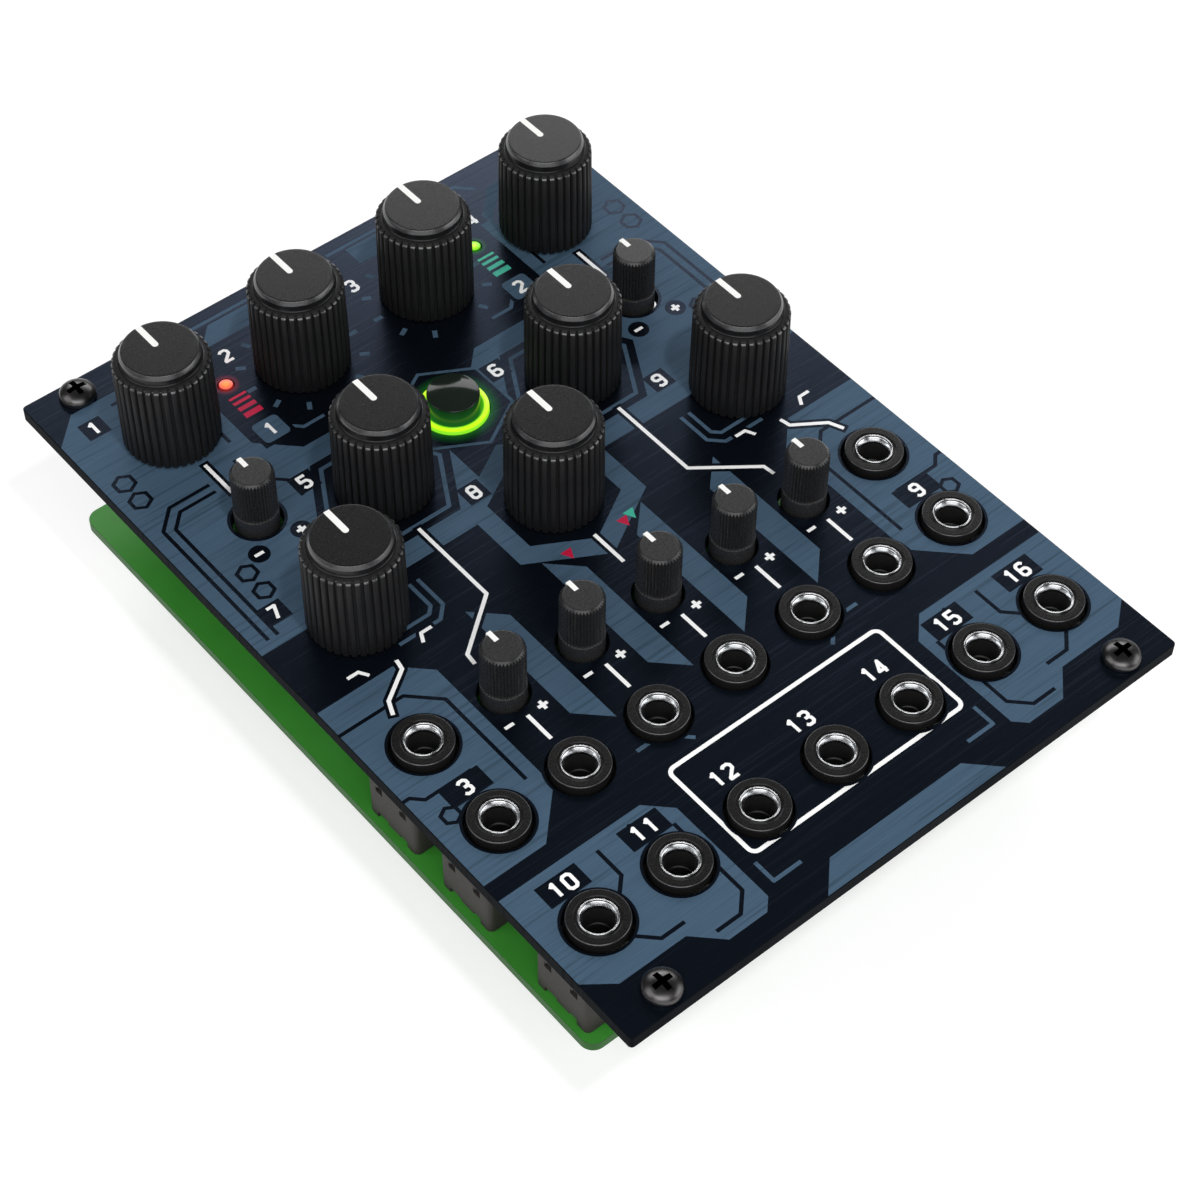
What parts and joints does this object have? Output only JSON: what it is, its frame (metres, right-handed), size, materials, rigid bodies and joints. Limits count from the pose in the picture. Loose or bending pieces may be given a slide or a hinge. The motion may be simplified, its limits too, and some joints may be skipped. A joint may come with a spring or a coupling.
{
  "type": "eurorack module",
  "caption": "Rack synthesiser module: brushed metal panel with turning knobs, patch jacks, a lit push button and lamps over a circuit board.",
  "frame": {"origin": "centre of the front panel's back face, which lies on the rack's rails", "axes": "+Z out of the panel's front, +Y to the panel's top edge, +X to its right"},
  "size_m": [0.0914, 0.1284, 0.0426],
  "materials": {
    "anodised_panel": "brushed, printed and anodised dark blue",
    "solder_mask": "green solder mask, satin",
    "knob_plastic": "moulded matte black",
    "pot_steel": "pressed steel",
    "soft_plastic": "moulded matte dark grey",
    "pot_plastic": "moulded black",
    "jack_plastic": "moulded dark grey",
    "gloss_button": "polished black",
    "lit_ring": "translucent, lit lime green",
    "red_lens": "lit red lens",
    "green_lens": "lit green lens",
    "black_steel": "black nickel",
    "header_plastic": "moulded black"
  },
  "bodies": {
    "module_body": {"front_panel": "anodised_panel", "circuit_board": "solder_mask", "large_pot_1": "pot_steel", "large_pot_2": "pot_steel", "large_pot_3": "pot_steel", "large_pot_4": "pot_steel", "large_pot_5": "pot_steel", "large_pot_6": "pot_steel", "large_pot_7": "pot_steel", "large_pot_8": "pot_steel", "large_pot_9": "pot_steel", "small_pot_1": "pot_plastic", "small_pot_2": "pot_plastic", "small_pot_3": "pot_plastic", "small_pot_4": "pot_plastic", "small_pot_5": "pot_plastic", "small_pot_6": "pot_plastic", "small_pot_7": "pot_plastic", "jack_1": "jack_plastic", "jack_2": "jack_plastic", "jack_3": "jack_plastic", "jack_4": "jack_plastic", "jack_5": "jack_plastic", "jack_6": "jack_plastic", "jack_7": "jack_plastic", "jack_8": "jack_plastic", "jack_9": "jack_plastic", "jack_10": "jack_plastic", "jack_11": "jack_plastic", "jack_12": "jack_plastic", "jack_13": "jack_plastic", "jack_14": "jack_plastic", "jack_15": "jack_plastic", "jack_16": "jack_plastic", "button_light_ring": "lit_ring", "button_switch": "pot_plastic", "led_red": "red_lens", "led_green": "green_lens", "rack_screw_1": "black_steel", "rack_screw_2": "black_steel", "rack_screw_3": "black_steel", "rack_screw_4": "black_steel", "power_header": "header_plastic"},
    "large_knob_1": {"large_knob_1": "knob_plastic"},
    "large_knob_2": {"large_knob_2": "knob_plastic"},
    "large_knob_3": {"large_knob_3": "knob_plastic"},
    "large_knob_4": {"large_knob_4": "knob_plastic"},
    "large_knob_5": {"large_knob_5": "knob_plastic"},
    "large_knob_6": {"large_knob_6": "knob_plastic"},
    "large_knob_7": {"large_knob_7": "knob_plastic"},
    "large_knob_8": {"large_knob_8": "knob_plastic"},
    "large_knob_9": {"large_knob_9": "knob_plastic"},
    "small_knob_1": {"small_knob_1": "soft_plastic"},
    "small_knob_2": {"small_knob_2": "soft_plastic"},
    "small_knob_3": {"small_knob_3": "soft_plastic"},
    "small_knob_4": {"small_knob_4": "soft_plastic"},
    "small_knob_5": {"small_knob_5": "soft_plastic"},
    "small_knob_6": {"small_knob_6": "soft_plastic"},
    "small_knob_7": {"small_knob_7": "soft_plastic"},
    "push_button": {"push_button": "gloss_button"}
  },
  "joints": [
    {"name": "large_knob_1_turn", "type": "hinge", "parent": "module_body", "child": "large_knob_1", "pos_m": [-0.0325, 0.0471, 0.002], "axis": [0, 0, 1], "range_deg": [-150, 150]},
    {"name": "large_knob_2_turn", "type": "hinge", "parent": "module_body", "child": "large_knob_2", "pos_m": [-0.01083, 0.0471, 0.002], "axis": [0, 0, 1], "range_deg": [-150, 150]},
    {"name": "large_knob_3_turn", "type": "hinge", "parent": "module_body", "child": "large_knob_3", "pos_m": [0.01083, 0.0471, 0.002], "axis": [0, 0, 1], "range_deg": [-150, 150]},
    {"name": "large_knob_4_turn", "type": "hinge", "parent": "module_body", "child": "large_knob_4", "pos_m": [0.0325, 0.0471, 0.002], "axis": [0, 0, 1], "range_deg": [-150, 150]},
    {"name": "large_knob_5_turn", "type": "hinge", "parent": "module_body", "child": "large_knob_5", "pos_m": [-0.01625, 0.0212, 0.002], "axis": [0, 0, 1], "range_deg": [-150, 150]},
    {"name": "large_knob_6_turn", "type": "hinge", "parent": "module_body", "child": "large_knob_6", "pos_m": [0.01625, 0.0212, 0.002], "axis": [0, 0, 1], "range_deg": [-150, 150]},
    {"name": "large_knob_7_turn", "type": "hinge", "parent": "module_body", "child": "large_knob_7", "pos_m": [-0.0325, 0.0054, 0.002], "axis": [0, 0, 1], "range_deg": [-150, 150]},
    {"name": "large_knob_8_turn", "type": "hinge", "parent": "module_body", "child": "large_knob_8", "pos_m": [0, 0.0054, 0.002], "axis": [0, 0, 1], "range_deg": [-150, 150]},
    {"name": "large_knob_9_turn", "type": "hinge", "parent": "module_body", "child": "large_knob_9", "pos_m": [0.0325, 0.0054, 0.002], "axis": [0, 0, 1], "range_deg": [-150, 150]},
    {"name": "small_knob_1_turn", "type": "hinge", "parent": "module_body", "child": "small_knob_1", "pos_m": [-0.0325, 0.0275, 0.002], "axis": [0, 0, 1], "range_deg": [-150, 150]},
    {"name": "small_knob_2_turn", "type": "hinge", "parent": "module_body", "child": "small_knob_2", "pos_m": [0.0325, 0.0275, 0.002], "axis": [0, 0, 1], "range_deg": [-150, 150]},
    {"name": "small_knob_3_turn", "type": "hinge", "parent": "module_body", "child": "small_knob_3", "pos_m": [-0.0255, -0.01575, 0.002], "axis": [0, 0, 1], "range_deg": [-150, 150]},
    {"name": "small_knob_4_turn", "type": "hinge", "parent": "module_body", "child": "small_knob_4", "pos_m": [-0.01275, -0.01575, 0.002], "axis": [0, 0, 1], "range_deg": [-150, 150]},
    {"name": "small_knob_5_turn", "type": "hinge", "parent": "module_body", "child": "small_knob_5", "pos_m": [0, -0.01575, 0.002], "axis": [0, 0, 1], "range_deg": [-150, 150]},
    {"name": "small_knob_6_turn", "type": "hinge", "parent": "module_body", "child": "small_knob_6", "pos_m": [0.01275, -0.01575, 0.002], "axis": [0, 0, 1], "range_deg": [-150, 150]},
    {"name": "small_knob_7_turn", "type": "hinge", "parent": "module_body", "child": "small_knob_7", "pos_m": [0.0255, -0.01575, 0.002], "axis": [0, 0, 1], "range_deg": [-150, 150]},
    {"name": "push_button_press", "type": "slide", "parent": "module_body", "child": "push_button", "axis": [0, 0, 1], "range_m": [-0.0005, 0], "stiffness_N_per_m": 800, "springref_m": 0.0005}
  ]
}
